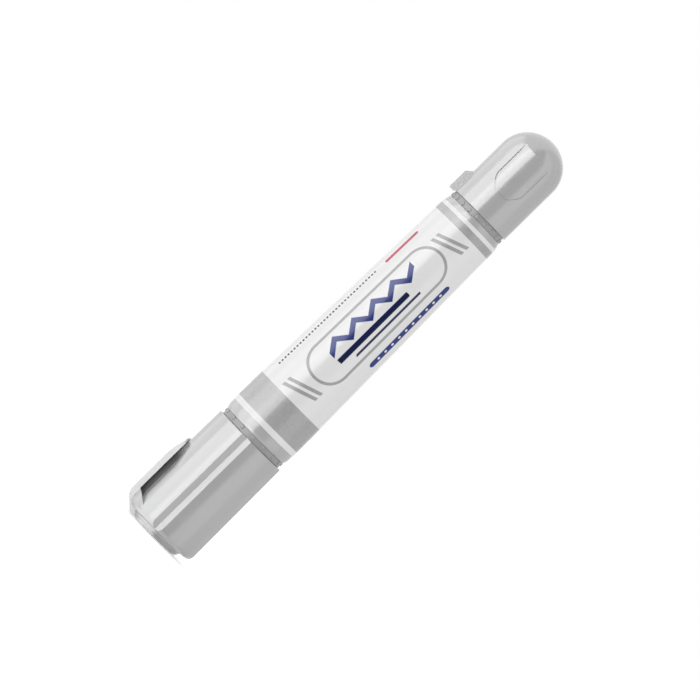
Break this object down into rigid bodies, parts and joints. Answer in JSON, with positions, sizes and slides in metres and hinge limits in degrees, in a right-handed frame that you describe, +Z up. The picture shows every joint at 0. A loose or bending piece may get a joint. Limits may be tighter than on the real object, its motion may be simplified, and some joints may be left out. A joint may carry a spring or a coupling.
{
  "type": "twin-tip paint marker",
  "caption": "Capped marker pen with a chisel nib under a fluted clip cap at one end and a bullet nib under a domed cap at the other.",
  "frame": {"origin": "centre of the flat outer face of the broad cap's end plate, which the marker stands on", "axes": "+Z up the marker's axis towards the domed cap, -X towards the clip, -Y the side of a flute; the label faces -Y turned 5.7 degrees towards +X"},
  "size_m": [0.0247, 0.023, 0.15],
  "materials": {
    "cap_plastic": "satin silver-grey moulded plastic",
    "barrel_plastic": "satin silver-grey moulded plastic",
    "label_film": null,
    "holder_plastic": "mid-grey moulded plastic",
    "seal_plastic": "milky soft plastic",
    "valve_plastic": "natural moulded plastic",
    "stem_plastic": "moulded plastic, blue with paint",
    "nib_felt": "pressed felt soaked with blue paint",
    "spring_steel": "drawn wire",
    "ball_steel": "ground ball"
  },
  "bodies": {
    "broad_cap": {"broad_cap_shell": "cap_plastic", "broad_cap_clip": "cap_plastic", "broad_cap_inner_seal": "seal_plastic"},
    "barrel": {"barrel": "barrel_plastic", "label_sleeve": "label_film", "broad_nib_holder": "holder_plastic", "broad_valve_housing": "valve_plastic", "broad_valve_spring": "spring_steel", "broad_spring_retainer": "valve_plastic", "medium_nib_holder": "holder_plastic", "medium_valve_housing": "valve_plastic", "medium_valve_spring": "spring_steel", "medium_spring_retainer": "valve_plastic"},
    "medium_cap": {"medium_cap_shell": "cap_plastic", "medium_cap_inner_seal": "seal_plastic"},
    "broad_nib": {"broad_nib": "nib_felt", "broad_valve_stem": "stem_plastic"},
    "medium_nib": {"medium_nib": "nib_felt", "medium_valve_stem": "stem_plastic"},
    "ball_1": {"mixing_ball_1": "ball_steel"},
    "ball_2": {"mixing_ball_2": "ball_steel"}
  },
  "joints": [
    {"name": "broad_cap_pull", "type": "slide", "parent": "broad_cap", "child": "barrel", "axis": [0, 0, 1], "range_m": [0, 0.045]},
    {"name": "medium_cap_pull", "type": "slide", "parent": "barrel", "child": "medium_cap", "axis": [0, 0, 1], "range_m": [0, 0.03]},
    {"name": "broad_nib_press", "type": "slide", "parent": "barrel", "child": "broad_nib", "axis": [0, 0, 1], "range_m": [0, 0.0015], "stiffness_N_per_m": 700, "springref_m": -0.0012, "deforming": ["broad_valve_spring"]},
    {"name": "medium_nib_press", "type": "slide", "parent": "barrel", "child": "medium_nib", "axis": [0, 0, -1], "range_m": [0, 0.0015], "stiffness_N_per_m": 700, "springref_m": -0.0012, "deforming": ["medium_valve_spring"]},
    {"name": "ball_1_slide", "type": "slide", "parent": "barrel", "child": "ball_1", "axis": [0, 0, 1], "range_m": [0, 0.049]},
    {"name": "ball_2_slide", "type": "slide", "parent": "barrel", "child": "ball_2", "axis": [0, 0, 1], "range_m": [0, 0.049]}
  ]
}
